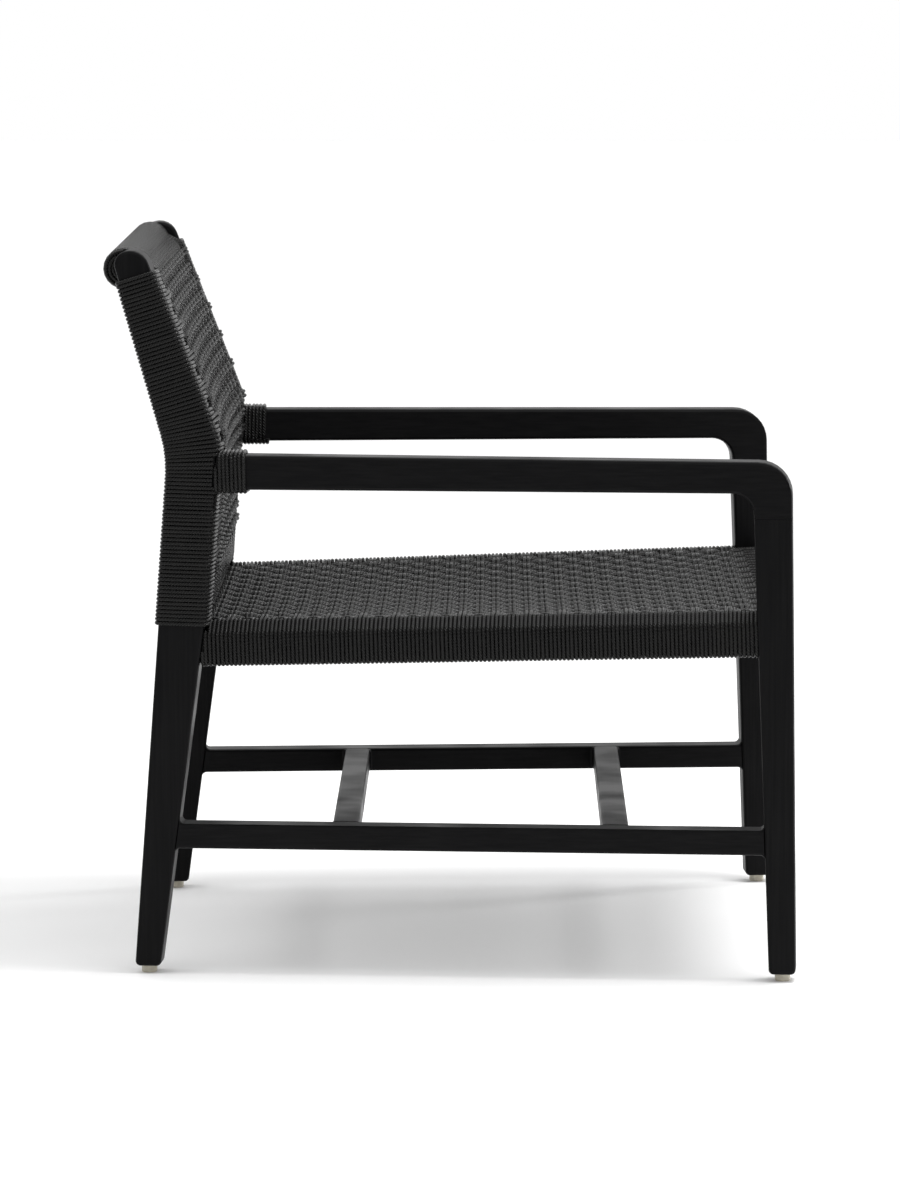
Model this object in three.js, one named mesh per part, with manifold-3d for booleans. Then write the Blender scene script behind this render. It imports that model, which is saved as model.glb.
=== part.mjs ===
// A low wooden armchair with a corded seat and back.
//
// Each side is a flat frame of boards: a bent rear post, a front leg, an arm that turns down
// onto the leg, a stretcher and a seat rail. The two frames stand further apart at the front
// than at the rear, and cross rails are tenoned between them. Cord is wound round the posts
// and the rails, and woven into a seat panel and a back panel between them.
//
// Millimetres, +Z up, the front towards -Y, and the sitter's right at -X. Outlines of boards
// are drawn as [forward of the rear foot, height above the floor].

import * as THREE from "three";
import { mergeVertices } from "three/addons/utils/BufferGeometryUtils.js";
import Module from "manifold-3d";

// ---------------------------------------------------------------- driving dimensions

const FRONT_WIDTH = 660; // over the front legs
const REAR_WIDTH = 566; // over the rear posts, without their cord
const SIDE_LENGTH = 653; // rear foot to front foot along a side frame, between centres
const BOARD = 32; // thickness of the boards in the side frames
const EDGE = 3; // roundover along the boards' edges
const GAP = 0.3; // room between pieces that touch

const FOOT_CORNER = 5; // rounded corners at the bottom of each leg
const POST_FOOT = 26.4; // the post's depth at the floor
const POST_SEAT = 48; // and at the seat
const POST_RAKE = 0.0728; // run of the post's back edge per unit of height, below the bend
const BACK_BEND = [25.5, 537]; // corner of the post's back edge
const FRONT_BEND = [74.5, 552]; // corner of the post's front edge
const BACK_BEND_RADIUS = 130;
const FRONT_BEND_RADIUS = 30;
const SEAT_BEND_RADIUS = 200;
const BACK_LEAN = THREE.MathUtils.degToRad(16.3); // lean of the back edge above the bend
const FRONT_LEAN = THREE.MathUtils.degToRad(21.2); // lean of the front edge above the bend
const UPPER_POST = 212; // length of the post above the bend
const POST_CROWN = { front: 20, back: 14 }; // radii of the rounded corners at the post's tip

const LEG_FOOT = 27.7; // the front leg's depth at the floor
const LEG_HEAD = 39.2; // and at its top
const LEG_RAKE = 0.0133; // run of the leg's front edge per unit of height

const ARM_UNDERSIDE = 501.8;
const ARM_REAR_DEPTH = 35.7;
const ARM_FRONT_DEPTH = 32.2;
const ARM_CORNER = 35; // outer radius where the arm turns down onto the leg
const ARM_HOLLOW = 23; // inner radius at the same place
const ARM_SHOULDER = 26; // how far below the arm's underside the leg begins
const BINDING_WIDTH = 25; // width of the cord bound round the arm's rear end

const STRETCHER_TOP = 156.5;
const STRETCHER_DEPTH = 25.5;
const CROSS_STRETCHER_WIDTH = 27;
const CROSS_STRETCHERS = { rear: 202.5, front: 480.5 }; // forward of the rear foot
const FLARE = 5; // radius of the hollow where a stretcher meets another board

const CORD = 3.6; // thickness of one layer of cord
const RAIL_THICKNESS = 24;
const RAIL_DEPTH = 39.5;
const RAIL_EDGE = 3;
const SHOULDER_RUN = 18; // slope planed off a side rail's upper outer corner: its width
const SHOULDER_DROP = 10; // and its height
const RAIL_INSET = 1.5; // how far a side rail's cord lies in from the leg's outer face
const SEAT_REAR_HEIGHT = 365.8; // top of the cord at the rear post
const SEAT_SLOPE = 0.0265; // rise of the seat per unit of depth, towards the front
const PANEL = 8; // thickness of a woven panel

const CREST_RADIUS = 17;
const CREST_AT = [-25, 725]; // centre of the crest rail
const CREST_TENON_RADIUS = 7;
const CREST_TENON_STEP = 6; // how far forward of the rail's centre its tenon is
const LOWER_RAIL = 20; // side of the lower back rail's square section
const LOWER_RAIL_RISE = 7; // room between the seat and the lower back rail's cord

const POST_CORD_START = 4; // how far below the seat's rear height the post's cord begins
const POST_CORD_STOP = 29; // how far below the post's tip it ends, along the lean

const TENON_LENGTH = 14; // tenons on the cross rails
const TENON_THICKNESS = 10;
const TENON_SHOULDER = 5; // height taken off each edge of a rail to leave its tenon
const TENON_WALL = 2; // wood left between two mortises that meet in one board
const DOWEL_RADIUS = 4;
const DOWEL_LENGTH = 36;
const DOWEL_SPACING = 17;

const GLIDE_RADIUS = 8;
const GLIDE_HEIGHT = 8;
const NAIL_HEAD_RADIUS = 3.5;
const NAIL_HEAD_HEIGHT = 1.5;
const NAIL_SHANK_RADIUS = 1.25;
const NAIL_LENGTH = 24;
const NAIL_TIP = 3;

// ---------------------------------------------------------------- values worked out from them

const SPLAY = Math.asin((FRONT_WIDTH - REAR_WIDTH) / 2 / SIDE_LENGTH);
const SIDE_OFFSET = (REAR_WIDTH - BOARD) / 2; // from the middle to a side frame, at the rear foot
const WRAP = GAP + CORD; // how far a layer of cord stands out from the wood
const FAR = 3000; // longer than any piece, for solids that only cut
const HANDS = { right: -1, left: 1 };

// A straight edge through two points, as the distance forward at a height.
const edgeThrough = ([x0, z0], [x1, z1]) => (z) => x0 + ((x1 - x0) * (z - z0)) / (z1 - z0);

const postBackBelow = (z) => -POST_FOOT / 2 + POST_RAKE * (z - GLIDE_HEIGHT);
const postFrontFoot = [POST_FOOT / 2, GLIDE_HEIGHT];
const postFrontSeat = [postBackBelow(SEAT_REAR_HEIGHT) + POST_SEAT, SEAT_REAR_HEIGHT];
const alongLean = ([x, z], angle, reach) => [x - reach * Math.sin(angle), z + reach * Math.cos(angle)];
const postTopBack = alongLean(BACK_BEND, BACK_LEAN, UPPER_POST);
const postTopFront = alongLean(FRONT_BEND, FRONT_LEAN, UPPER_POST);
const postBackAt = (z) => (z < BACK_BEND[1] ? postBackBelow(z) : edgeThrough(BACK_BEND, postTopBack)(z));
function postFrontAt(z) {
  if (z < SEAT_REAR_HEIGHT) return edgeThrough(postFrontFoot, postFrontSeat)(z);
  if (z < FRONT_BEND[1]) return edgeThrough(postFrontSeat, FRONT_BEND)(z);
  return edgeThrough(FRONT_BEND, postTopFront)(z);
}
const LEAN = (BACK_LEAN + FRONT_LEAN) / 2;

const armHead = ARM_UNDERSIDE - ARM_SHOULDER; // where the arm meets the leg
const legFrontAt = (z) => SIDE_LENGTH + LEG_FOOT / 2 - LEG_RAKE * (z - GLIDE_HEIGHT);
const legBackAt = edgeThrough(
  [SIDE_LENGTH - LEG_FOOT / 2, GLIDE_HEIGHT],
  [legFrontAt(armHead) - LEG_HEAD, armHead],
);

const seatTop = (forward) => SEAT_REAR_HEIGHT + SEAT_SLOPE * (forward - postFrontSeat[0]);
const railMiddle = (forward) => seatTop(forward) - CORD - RAIL_DEPTH / 2;
const railEnds = { rear: railMiddle(postFrontSeat[0]), front: railMiddle(SIDE_LENGTH) };
const rearRailAt = (postBackAt(railEnds.rear) + postFrontAt(railEnds.rear)) / 2;
const frontRailAt = (legBackAt(railEnds.front) + legFrontAt(railEnds.front)) / 2;
const stretcherMiddle = STRETCHER_TOP - STRETCHER_DEPTH / 2;
const lowerRailHeight = seatTop(postFrontSeat[0]) + LOWER_RAIL_RISE + WRAP + LOWER_RAIL / 2;
const lowerRailAt = postFrontAt(lowerRailHeight) - LOWER_RAIL / 2;

// Distance forward, seen from the side of the chair, of a point along a side frame's inner face.
const forwardOf = (along) => along * Math.cos(SPLAY) + (BOARD / 2) * Math.sin(SPLAY);

// ---------------------------------------------------------------- solids

const wasm = await Module();
wasm.setup();

function solidOf(geometry) {
  const bare = geometry.clone();
  bare.deleteAttribute("normal");
  bare.deleteAttribute("uv");
  const merged = mergeVertices(bare, 1e-4);
  return new wasm.Manifold(
    new wasm.Mesh({
      numProp: 3,
      vertProperties: new Float32Array(merged.attributes.position.array),
      triVerts: new Uint32Array(merged.index.array),
    }),
  );
}

function geometryOf(solid) {
  const { vertProperties, triVerts } = solid.getMesh();
  const geometry = new THREE.BufferGeometry();
  geometry.setAttribute("position", new THREE.BufferAttribute(vertProperties, 3));
  geometry.setIndex(new THREE.BufferAttribute(triVerts, 1));
  geometry.computeVertexNormals();
  return geometry;
}

const cut = (solid, tools) => tools.reduce((left, tool) => left.subtract(tool), solid);
const join = (solid, others) => others.reduce((sum, other) => sum.add(other), solid);

// A cut can leave crumbs beyond the piece that is wanted.
const largest = (solid) => solid.decompose().reduce((a, b) => (b.volume() > a.volume() ? b : a));

// A closed outline through corners [x, y, radius], anticlockwise; a radius makes an arc.
function outline(corners, steps) {
  const points = corners.flatMap(([x, y, radius], i) => {
    const here = new THREE.Vector2(x, y);
    if (!radius) return [here];
    const back = new THREE.Vector2(...corners.at(i - 1)).sub(here).normalize();
    const on = new THREE.Vector2(...corners[(i + 1) % corners.length]).sub(here).normalize();
    const half = Math.acos(back.dot(on)) / 2;
    const reach = radius / Math.tan(half);
    const centre = back.clone().add(on).setLength(radius / Math.sin(half)).add(here);
    const start = back.clone().multiplyScalar(reach).add(here).sub(centre).angle();
    const end = on.clone().multiplyScalar(reach).add(here).sub(centre).angle();
    const clockwise = back.cross(on) > 0;
    return new THREE.EllipseCurve(...centre, radius, radius, start, end, clockwise).getPoints(steps);
  });
  return new THREE.Shape(points);
}

// The same corners with every edge moved outwards by `distance`.
function grown(corners, distance) {
  return corners.map(([x, y, radius], i) => {
    const into = new THREE.Vector2(x, y).sub(new THREE.Vector2(...corners.at(i - 1))).normalize();
    const next = new THREE.Vector2(...corners[(i + 1) % corners.length]);
    const out = next.sub(new THREE.Vector2(x, y)).normalize();
    const across = new THREE.Vector2(into.y + out.y, -into.x - out.x);
    across.multiplyScalar((2 * distance) / across.lengthSq());
    const turn = into.cross(out) > 0 ? 1 : -1;
    return [x + across.x, y + across.y, radius && Math.max(radius + turn * distance, GAP)];
  });
}

function extruded(corners, depth, edge = 0, steps = 4) {
  const geometry = new THREE.ExtrudeGeometry(outline(corners, steps), {
    depth: depth - 2 * edge,
    bevelEnabled: edge > 0,
    bevelThickness: edge,
    bevelSize: edge,
    bevelOffset: -edge,
    bevelSegments: 2,
  });
  return geometry.translate(0, 0, edge - depth / 2);
}

// An outline seen from the sitter's right, [forward, up], made `thickness` thick across the chair.
function board(corners, thickness, edge = 0, steps = 4) {
  const [forward, up, right] = [[0, -1, 0], [0, 0, 1], [-1, 0, 0]].map((v) => new THREE.Vector3(...v));
  const turn = new THREE.Matrix4().makeBasis(forward, up, right);
  return solidOf(extruded(corners, thickness, edge, steps).applyMatrix4(turn));
}

// A section across the chair, [sideways, up], run between the uprights with the seat's slope.
function rail(corners) {
  const middle = (rearRailAt + frontRailAt) / 2;
  const turn = new THREE.Matrix4().makeRotationX(Math.PI / 2 - Math.atan(SEAT_SLOPE));
  turn.setPosition(0, -middle, railMiddle(middle));
  return solidOf(extruded(corners, frontRailAt - rearRailAt).applyMatrix4(turn));
}

function block([width, depth, height], [x, forward, up]) {
  return solidOf(new THREE.BoxGeometry(width, depth, height).translate(x, -forward, up));
}

function peg(radius, height, forward, up, sides = 16) {
  const geometry = new THREE.CylinderGeometry(radius, radius, height, sides);
  return solidOf(geometry.rotateX(Math.PI / 2).translate(0, -forward, up));
}

// A round outline, [forward, up], as a ring of short edges.
function circle([x, y], radius, sides = 28) {
  return Array.from({ length: sides }, (_, i) => {
    const angle = (i * 2 * Math.PI) / sides;
    return [x + radius * Math.cos(angle), y + radius * Math.sin(angle)];
  });
}

// ---------------------------------------------------------------- the side frames' places

const sideMatrix = (hand) =>
  new THREE.Matrix4().makeRotationZ(hand * SPLAY).setPosition(hand * SIDE_OFFSET, 0, 0);
const toChair = (solid, hand) => solid.transform(sideMatrix(hand).elements);
const toSide = (solid, hand) => solid.transform(sideMatrix(hand).invert().elements);

// Everything outside a plane that is `inset` in from both side frames' inner faces.
function beyondSides(inset) {
  return [-1, 1].map((hand) =>
    toChair(block([FAR, FAR, FAR], [hand * (FAR / 2 - BOARD / 2 - inset), 0, 0]), hand),
  );
}

// ---------------------------------------------------------------- mortises and tenons

// A tenon on the end of a cross rail, in its side frame's own place; `room` makes its mortise.
function crossTenon(hand, along, up, depth, room = 0) {
  const reach = TENON_LENGTH + room;
  const height = depth - 2 * TENON_SHOULDER + 2 * room;
  const size = [2 * reach, TENON_THICKNESS + 2 * room, height];
  return block(size, [(-hand * BOARD) / 2, along, up]);
}

// A tenon on the end of a side frame's own rail, into the edge of an upright `width` deep.
function sideTenon(edge, up, width, depth, room = 0) {
  const reach = width / 2 - TENON_THICKNESS / 2 - TENON_WALL + room;
  const height = depth - 2 * TENON_SHOULDER + 2 * room;
  return block([TENON_THICKNESS + 2 * room, 2 * reach, height], [0, edge, up]);
}

const postTenon = (up, depth, room) =>
  sideTenon(postFrontAt(up), up, postFrontAt(up) - postBackAt(up), depth, room);
const legTenon = (up, depth, room) =>
  sideTenon(legBackAt(up), up, legFrontAt(up) - legBackAt(up), depth, room);

function crestTenon(hand, room = 0) {
  const at = [CREST_AT[0] + CREST_TENON_STEP, CREST_AT[1] - CREST_TENON_STEP / 2];
  const pin = board(circle(at, CREST_TENON_RADIUS + room, 16), 2 * (TENON_LENGTH + room));
  return pin.translate([(-hand * BOARD) / 2, 0, 0]);
}

// ---------------------------------------------------------------- glides

function turned(profile, forward, sides) {
  const points = profile.map(([x, y]) => new THREE.Vector2(x, y));
  return solidOf(new THREE.LatheGeometry(points, sides).rotateX(Math.PI / 2).translate(0, -forward, 0));
}

const nailFoot = 2; // nylon under the nail's head

function glide(forward) {
  const pocket = NAIL_HEAD_RADIUS + GAP;
  const bore = NAIL_SHANK_RADIUS + GAP;
  const ceiling = nailFoot + NAIL_HEAD_HEIGHT + GAP;
  const chamfer = 0.8;
  const profile = [
    [0, 0], [GLIDE_RADIUS - chamfer, 0], [GLIDE_RADIUS, chamfer], [GLIDE_RADIUS, GLIDE_HEIGHT - GAP],
    [bore, GLIDE_HEIGHT - GAP], [bore, ceiling], [pocket, ceiling], [pocket, nailFoot - GAP],
    [0, nailFoot - GAP],
  ];
  return turned(profile, forward, 24);
}

function glideNail(forward) {
  const shoulder = nailFoot + NAIL_HEAD_HEIGHT;
  const tip = nailFoot + NAIL_LENGTH;
  const profile = [
    [0, nailFoot], [NAIL_HEAD_RADIUS, nailFoot], [NAIL_HEAD_RADIUS, shoulder],
    [NAIL_SHANK_RADIUS, shoulder], [NAIL_SHANK_RADIUS, tip - NAIL_TIP], [0, tip],
  ];
  return turned(profile, forward, 12);
}

const nailHole = (forward) =>
  peg(NAIL_SHANK_RADIUS + GAP, 2 * (nailFoot + NAIL_LENGTH + GAP), forward, 0, 12);

// ---------------------------------------------------------------- boards of a side frame

const postCorners = [
  [postBackBelow(GLIDE_HEIGHT), GLIDE_HEIGHT, FOOT_CORNER], [...postFrontFoot, FOOT_CORNER],
  [...postFrontSeat, SEAT_BEND_RADIUS], [...FRONT_BEND, FRONT_BEND_RADIUS],
  [...postTopFront, POST_CROWN.front], [...postTopBack, POST_CROWN.back], [...BACK_BEND, BACK_BEND_RADIUS],
];
const postBoard = (extra, edge = 0, thickness = BOARD + 2 * extra) =>
  board(grown(postCorners, extra), thickness, edge, 6);

const legCorners = [
  [legBackAt(GLIDE_HEIGHT), GLIDE_HEIGHT, FOOT_CORNER], [legFrontAt(GLIDE_HEIGHT), GLIDE_HEIGHT, FOOT_CORNER],
  [legFrontAt(ARM_UNDERSIDE), ARM_UNDERSIDE], [legBackAt(ARM_UNDERSIDE), ARM_UNDERSIDE],
];
const legBoard = (extra, edge = 0, thickness = BOARD + 2 * extra) =>
  board(grown(legCorners, extra), thickness, edge);

const armTop = { rear: ARM_UNDERSIDE + ARM_REAR_DEPTH, front: ARM_UNDERSIDE + ARM_FRONT_DEPTH };
const armMiddle = ARM_UNDERSIDE + ARM_REAR_DEPTH / 2;
const armCorners = [
  [postBackAt(ARM_UNDERSIDE), ARM_UNDERSIDE], [legBackAt(ARM_UNDERSIDE), ARM_UNDERSIDE, ARM_HOLLOW],
  [legBackAt(armHead - FOOT_CORNER), armHead - FOOT_CORNER],
  [legFrontAt(armHead - FOOT_CORNER), armHead - FOOT_CORNER],
  [legFrontAt(armTop.front), armTop.front, ARM_CORNER], [postBackAt(armTop.rear), armTop.rear],
];
const armBoard = (extra, edge = 0) => board(grown(armCorners, extra), BOARD + 2 * extra, edge, 8);

const dowelPlaces = [-1, 1].map(
  (way) => (legBackAt(armHead) + legFrontAt(armHead) + way * DOWEL_SPACING) / 2,
);
const dowelHoles = dowelPlaces.map((forward) =>
  peg(DOWEL_RADIUS + GAP, DOWEL_LENGTH + 2 * GAP, forward, armHead),
);
const dowel = (forward) => peg(DOWEL_RADIUS, DOWEL_LENGTH, forward, armHead);

const sideRailTenon = RAIL_DEPTH - SHOULDER_DROP; // leaves a side rail's tenon clear of its slope

function rearPost(hand) {
  return cut(postBoard(0, EDGE), [
    nailHole(0),
    postTenon(stretcherMiddle, STRETCHER_DEPTH, GAP),
    postTenon(railEnds.rear, sideRailTenon, GAP),
    postTenon(armMiddle, ARM_REAR_DEPTH, GAP),
    crossTenon(hand, rearRailAt, railMiddle(rearRailAt), RAIL_DEPTH, GAP),
    crossTenon(hand, lowerRailAt, lowerRailHeight, LOWER_RAIL, GAP),
    crestTenon(hand, GAP),
  ]);
}

function frontLeg(hand) {
  const above = block([FAR, FAR, FAR], [0, 0, armHead + FAR / 2]);
  return cut(legBoard(0, EDGE), [
    above, nailHole(SIDE_LENGTH), ...dowelHoles,
    legTenon(stretcherMiddle, STRETCHER_DEPTH, GAP),
    legTenon(railEnds.front, sideRailTenon, GAP),
    crossTenon(hand, frontRailAt, railMiddle(frontRailAt), RAIL_DEPTH, GAP),
  ]);
}

function arm() {
  const below = block([FAR, FAR, FAR], [0, 0, armHead + GAP - FAR / 2]);
  const body = cut(armBoard(0, EDGE), [below, postBoard(GAP), ...dowelHoles]);
  return join(largest(body), [postTenon(armMiddle, ARM_REAR_DEPTH)]);
}

// A board between two edges, whose ends flare out where they meet them.
function flared(startAt, endAt, low, high) {
  const [under, over] = [low - 2 * FLARE, high + 2 * FLARE];
  const past = 2 * FLARE;
  return [
    [startAt(under) - past, under], [startAt(under), under], [startAt(low), low, FLARE],
    [endAt(low), low, FLARE], [endAt(under), under], [endAt(under) + past, under],
    [endAt(over) + past, over], [endAt(over), over], [endAt(high), high, FLARE],
    [startAt(high), high, FLARE], [startAt(over), over], [startAt(over) - past, over],
  ];
}

const stretcherBoard = () => {
  const corners = flared(postFrontAt, legBackAt, STRETCHER_TOP - STRETCHER_DEPTH, STRETCHER_TOP);
  return cut(board(corners, BOARD, EDGE), [postBoard(GAP), legBoard(GAP)]);
};

function sideStretcher(hand) {
  const mortises = Object.values(CROSS_STRETCHERS).map((along) =>
    crossTenon(hand, along, stretcherMiddle, STRETCHER_DEPTH, GAP),
  );
  return join(cut(largest(stretcherBoard()), mortises), [
    postTenon(stretcherMiddle, STRETCHER_DEPTH),
    legTenon(stretcherMiddle, STRETCHER_DEPTH),
  ]);
}

// The section of a side seat rail, with its slope towards the outside of the chair.
function sideRailCorners(extra) {
  const outer = BOARD / 2 - RAIL_INSET - WRAP;
  const inner = outer - RAIL_THICKNESS;
  const [low, high] = [-RAIL_DEPTH / 2, RAIL_DEPTH / 2];
  const corners = [
    [inner, low, RAIL_EDGE], [outer, low, RAIL_EDGE], [outer, high - SHOULDER_DROP, RAIL_EDGE],
    [outer - SHOULDER_RUN, high, RAIL_EDGE], [inner, high, 1],
  ];
  return grown(corners, extra);
}

function sideRailRun(hand, extra) {
  const corners = sideRailCorners(extra).map(([x, y, radius]) => [hand * x, y, radius]);
  return rail(hand > 0 ? corners : corners.reverse());
}

// The uprights' outlines, cut right across whatever runs between them.
const uprights = (room) => [postBoard(room, 0, 2 * BOARD), legBoard(room, 0, 2 * BOARD)];

function sideSeatRail(hand) {
  return join(largest(cut(sideRailRun(hand, 0), uprights(GAP))), [
    postTenon(railEnds.rear, sideRailTenon),
    legTenon(railEnds.front, sideRailTenon),
  ]);
}

// ---------------------------------------------------------------- cross rails

const boxed = ([x, y], width, height, radius) => [
  [x - width / 2, y - height / 2, radius], [x + width / 2, y - height / 2, radius],
  [x + width / 2, y + height / 2, radius], [x - width / 2, y + height / 2, radius],
];

const seatRailCorners = (along) =>
  boxed([forwardOf(along), railMiddle(along)], RAIL_THICKNESS, RAIL_DEPTH, RAIL_EDGE);
const lowerRailCorners = boxed([forwardOf(lowerRailAt), lowerRailHeight], LOWER_RAIL, LOWER_RAIL, RAIL_EDGE);
const crestCorners = circle([forwardOf(CREST_AT[0]), CREST_AT[1]], CREST_RADIUS);

function crossRail(corners, tenonAt) {
  const body = cut(board(corners, REAR_WIDTH + FRONT_WIDTH), beyondSides(GAP));
  return join(body, [-1, 1].map((hand) => toChair(tenonAt(hand), hand)));
}

const crossSeatRail = (along) =>
  crossRail(seatRailCorners(along), (hand) => crossTenon(hand, along, railMiddle(along), RAIL_DEPTH));
const lowerBackRail = () =>
  crossRail(lowerRailCorners, (hand) => crossTenon(hand, lowerRailAt, lowerRailHeight, LOWER_RAIL));
const crestRail = () => crossRail(crestCorners, (hand) => crestTenon(hand));

function crossStretcher(along) {
  const forward = forwardOf(along);
  const [low, high] = [forward - CROSS_STRETCHER_WIDTH / 2, forward + CROSS_STRETCHER_WIDTH / 2];
  const innerAt = (f) => SIDE_OFFSET + f * Math.tan(SPLAY) - BOARD / 2 / Math.cos(SPLAY);
  const corners = flared((f) => -innerAt(f), innerAt, low, high);
  const turn = new THREE.Matrix4().makeRotationX(Math.PI).setPosition(0, 0, stretcherMiddle);
  const body = cut(solidOf(extruded(corners, STRETCHER_DEPTH, EDGE).applyMatrix4(turn)), beyondSides(GAP));
  const tenons = [-1, 1].map((hand) =>
    toChair(crossTenon(hand, along, stretcherMiddle, STRETCHER_DEPTH), hand),
  );
  return join(largest(body), tenons);
}

// ---------------------------------------------------------------- cord wound round the wood

// Cord on a cross rail, clear of what covers the side frames there.
function crossWrap(corners, clear, neighbours = []) {
  const length = REAR_WIDTH + FRONT_WIDTH;
  const core = board(grown(corners, GAP), length);
  const around = board(grown(corners, WRAP), length);
  return largest(cut(around, [core, ...beyondSides(clear), ...neighbours]));
}

const crestWrap = () => crossWrap(crestCorners, GAP);

function sideRailWrap(hand) {
  return largest(cut(sideRailRun(hand, WRAP), [sideRailRun(hand, GAP), ...uprights(2 * GAP)]));
}

// The room that a side rail and its cord take up between the uprights.
const sideRailRoom = (hand) => cut(sideRailRun(hand, WRAP + GAP), uprights(GAP));

function crossSeatRailWrap(along, clear) {
  const beside = [-1, 1].map((hand) => toChair(sideRailRoom(hand), hand));
  return crossWrap(seatRailCorners(along), clear, beside);
}

// What lies above a line square to the post, `drop` below its tip.
function abovePostCord() {
  const tip = postTopBack.map((value, i) => (value + postTopFront[i]) / 2);
  const at = alongLean(tip, LEAN, -POST_CORD_STOP);
  const turn = new THREE.Matrix4().makeRotationX(-LEAN).setPosition(0, -at[0], at[1]);
  return block([FAR, FAR, FAR], [0, 0, FAR / 2]).transform(turn.elements);
}

function postWrap(hand) {
  const below = block([FAR, FAR, FAR], [0, 0, SEAT_REAR_HEIGHT - POST_CORD_START - FAR / 2]);
  const wideRail = (corners, extra) => toSide(board(grown(corners, extra), REAR_WIDTH), hand);
  return largest(
    cut(postBoard(WRAP), [
      postBoard(GAP), below, abovePostCord(), armBoard(GAP),
      sideRailRoom(hand),
      wideRail(seatRailCorners(rearRailAt), GAP), wideRail(lowerRailCorners, GAP),
      toSide(cut(board(grown(crestCorners, WRAP + GAP), REAR_WIDTH), beyondSides(0)), hand),
    ]),
  );
}

function armBinding() {
  const front = postFrontAt(armMiddle) + WRAP + GAP + BINDING_WIDTH;
  const beyond = block([FAR, FAR, FAR], [0, front + FAR / 2, 0]);
  return largest(cut(armBoard(WRAP), [armBoard(GAP), beyond, postBoard(WRAP + GAP)]));
}

// ---------------------------------------------------------------- woven panels

const rearWraps = () => [-1, 1].map((hand) => toChair(postBoard(WRAP + GAP), hand));
const frontLegs = () => [-1, 1].map((hand) => toChair(legBoard(GAP), hand));

function seatPanel() {
  const [rear, front] = [forwardOf(rearRailAt), forwardOf(frontRailAt)];
  const corners = [
    [rear, seatTop(rear) - PANEL], [front, seatTop(front) - PANEL],
    [front, seatTop(front)], [rear, seatTop(rear)],
  ];
  const railWraps = [-1, 1].map((hand) => toChair(sideRailRun(hand, WRAP + GAP), hand));
  const crossWraps = [rearRailAt, frontRailAt].map((along) =>
    board(grown(seatRailCorners(along), WRAP + GAP), FRONT_WIDTH),
  );
  const slab = board(corners, FRONT_WIDTH);
  return largest(cut(slab, [...railWraps, ...crossWraps, ...rearWraps(), ...frontLegs()]));
}

// The face of the back: up the posts' front edges, and on to the front of the crest rail.
function backPanel() {
  const foot = [postFrontAt(lowerRailHeight), lowerRailHeight];
  const crestFace = [CREST_AT[0] + CREST_RADIUS * Math.cos(LEAN), CREST_AT[1] + CREST_RADIUS * Math.sin(LEAN)];
  const behind = [crestFace, foot].map(([forward, up]) => [forward - FAR, up]);
  const face = [foot, [...FRONT_BEND, FRONT_BEND_RADIUS], crestFace, ...behind];
  const [outer, inner] = [WRAP, WRAP - PANEL].map((step) => grown(face, step).slice(0, 3));
  const corners = [...outer, ...inner.reverse()].map(([along, ...rest]) => [forwardOf(along), ...rest]);
  return largest(
    cut(board(corners, REAR_WIDTH), [
      board(grown(lowerRailCorners, WRAP + GAP), REAR_WIDTH),
      board(grown(crestCorners, WRAP + GAP), REAR_WIDTH),
      ...rearWraps(),
    ]),
  );
}

// ---------------------------------------------------------------- the chair

const finish = (color, roughness) => () => new THREE.MeshStandardMaterial({ color, roughness, metalness: 0 });
const blackWood = finish(0x19191b, 0.42);
const paperCord = finish(0x2e2d2c, 0.85);
const nylon = finish(0xc8c4b2, 0.5);
const dowelWood = finish(0xa98a5e, 0.7);
const steel = () => new THREE.MeshStandardMaterial({ color: 0x9a9a9c, roughness: 0.4, metalness: 1 });

function piece(name, solid, material) {
  const mesh = new THREE.Mesh(geometryOf(solid), material());
  mesh.name = name;
  return mesh;
}

function sideFrame(side) {
  const hand = HANDS[side];
  const frame = new THREE.Group();
  frame.position.x = hand * SIDE_OFFSET;
  frame.rotation.z = hand * SPLAY;
  frame.add(
    piece(`${side}_rear_post`, rearPost(hand), blackWood),
    piece(`${side}_front_leg`, frontLeg(hand), blackWood),
    piece(`${side}_arm`, arm(), blackWood),
    piece(`${side}_side_stretcher`, sideStretcher(hand), blackWood),
    piece(`${side}_seat_rail`, sideSeatRail(hand), blackWood),
    piece(`${side}_post_cord`, postWrap(hand), paperCord),
    piece(`${side}_seat_rail_cord`, sideRailWrap(hand), paperCord),
    piece(`${side}_arm_binding`, armBinding(), paperCord),
  );
  Object.entries({ rear: 0, front: SIDE_LENGTH }).forEach(([end, forward]) => {
    frame.add(
      piece(`${side}_${end}_glide`, glide(forward), nylon),
      piece(`${side}_${end}_glide_nail`, glideNail(forward), steel),
    );
  });
  dowelPlaces.forEach((forward, i) => {
    frame.add(piece(`${side}_arm_dowel_${i + 1}`, dowel(forward), dowelWood));
  });
  return frame;
}

const chair = new THREE.Group();
Object.keys(HANDS).forEach((side) => chair.add(sideFrame(side)));
Object.entries(CROSS_STRETCHERS).forEach(([end, along]) => {
  chair.add(piece(`${end}_cross_stretcher`, crossStretcher(along), blackWood));
});
Object.entries({ rear: rearRailAt, front: frontRailAt }).forEach(([end, along]) => {
  const clear = end === "rear" ? WRAP + GAP : GAP;
  chair.add(
    piece(`${end}_seat_rail`, crossSeatRail(along), blackWood),
    piece(`${end}_seat_rail_cord`, crossSeatRailWrap(along, clear), paperCord),
  );
});
chair.add(
  piece("crest_rail", crestRail(), blackWood),
  piece("crest_cord", crestWrap(), paperCord),
  piece("lower_back_rail", lowerBackRail(), blackWood),
  piece("lower_back_cord", crossWrap(lowerRailCorners, WRAP + GAP), paperCord),
  piece("seat_weave", seatPanel(), paperCord),
  piece("back_weave", backPanel(), paperCord),
);

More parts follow.
